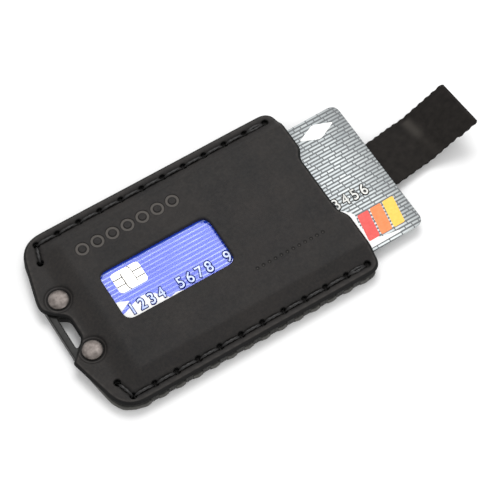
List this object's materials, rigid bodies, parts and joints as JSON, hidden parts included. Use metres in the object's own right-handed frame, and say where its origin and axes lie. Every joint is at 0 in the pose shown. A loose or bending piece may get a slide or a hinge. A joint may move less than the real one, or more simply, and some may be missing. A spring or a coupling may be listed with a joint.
{
  "type": "card holder",
  "caption": "Slim card holder with a moulded leather front sewn to a metal back frame, an ID window, cards, and a webbing strap that draws the rear card out.",
  "frame": {"origin": "On the flat back of the metal frame, midway along it and on its centre line", "axes": "+X towards the mouth, where the cards come out; +Y across, to the left seam; +Z out of the leather front"},
  "size_m": [0.1573, 0.0708, 0.0134],
  "materials": {
    "frame_metal": "dark satin anodising",
    "leather": "smooth vegetable tanned leather, near black, low sheen",
    "lining": "thin dull lining",
    "thread": "waxed black thread",
    "rivet_metal": "satin pewter plating",
    "front_card": "printed gloss laminate, blue",
    "rear_card": "printed laminate, silver with dark rows",
    "chip_metal": "plated contacts",
    "webbing": "black nylon webbing"
  },
  "bodies": {
    "holder": {"back_frame": "frame_metal", "front_leather": "leather", "lining_sheet": "lining", "seam_thread_left": "thread", "seam_thread_right": "thread", "rivet_cap_left": "rivet_metal", "rivet_cap_right": "rivet_metal", "rivet_post_left": "rivet_metal", "rivet_post_right": "rivet_metal", "strap_fixed_leg": "webbing"},
    "front_card": {"front_card": "front_card", "front_card_chip": "chip_metal"},
    "rear_card": {"rear_card": "rear_card", "rear_card_chip": "chip_metal", "strap_bend": "webbing"},
    "strap": {"pull_strap": "webbing", "strap_inner_run": "webbing"},
    "tail": {"strap_tail": "webbing"}
  },
  "joints": [
    {"name": "strap_pull", "type": "slide", "parent": "holder", "child": "strap", "axis": [1, 0, 0], "range_m": [-0.0456, 0.04], "deforming": ["strap_inner_run", "strap_fixed_leg"]},
    {"name": "rear_card_slide", "type": "slide", "parent": "holder", "child": "rear_card", "axis": [1, 0, 0], "range_m": [-0.0228, 0.02]},
    {"name": "tail_flex", "type": "hinge", "parent": "strap", "child": "tail", "pos_m": [0.0872, -0.0017, 0.0029], "axis": [0, -1, 0], "range_deg": [-31, 27.2]},
    {"name": "front_card_slide", "type": "slide", "parent": "holder", "child": "front_card", "axis": [1, 0, 0], "range_m": [0, 0.04]}
  ],
  "couplings": [
    {"joint": "rear_card_slide", "follows": "strap_pull", "ratio": 0.5},
    {"joint": "tail_flex", "follows": "strap_pull", "rad_per_m": 11.865}
  ]
}
